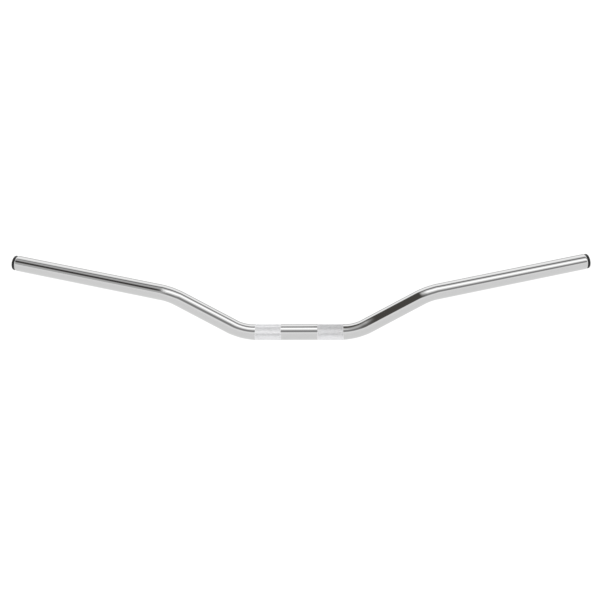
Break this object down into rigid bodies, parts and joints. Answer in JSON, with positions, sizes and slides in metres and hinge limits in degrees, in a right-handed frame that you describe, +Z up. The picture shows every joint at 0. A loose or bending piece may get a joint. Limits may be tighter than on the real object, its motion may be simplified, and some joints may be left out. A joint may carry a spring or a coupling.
{
  "type": "motorcycle handlebar",
  "caption": "Bent chromed steel tube handlebar with a low rise, knurled clamp seats and plastic end plugs.",
  "frame": {"origin": "on the tube's axis, halfway between the two knurled clamp seats", "axes": "+X along the clamp seats, to the right as seen from in front of the motorcycle; +Y back towards the rider; +Z up"},
  "size_m": [0.8356, 0.1131, 0.1013],
  "materials": {
    "chromed_steel": "polished",
    "plug_plastic": "satin"
  },
  "bodies": {
    "tube": {"handlebar_tube": "chromed_steel"},
    "left_plug": {"left_end_plug": "plug_plastic"},
    "right_plug": {"right_end_plug": "plug_plastic"}
  },
  "joints": [
    {"name": "left_plug_pull", "type": "slide", "parent": "tube", "child": "left_plug", "axis": [-0.9448, 0.307, 0.1149], "range_m": [0, 0.03]},
    {"name": "right_plug_pull", "type": "slide", "parent": "tube", "child": "right_plug", "axis": [0.9448, 0.307, 0.1149], "range_m": [0, 0.03]}
  ]
}
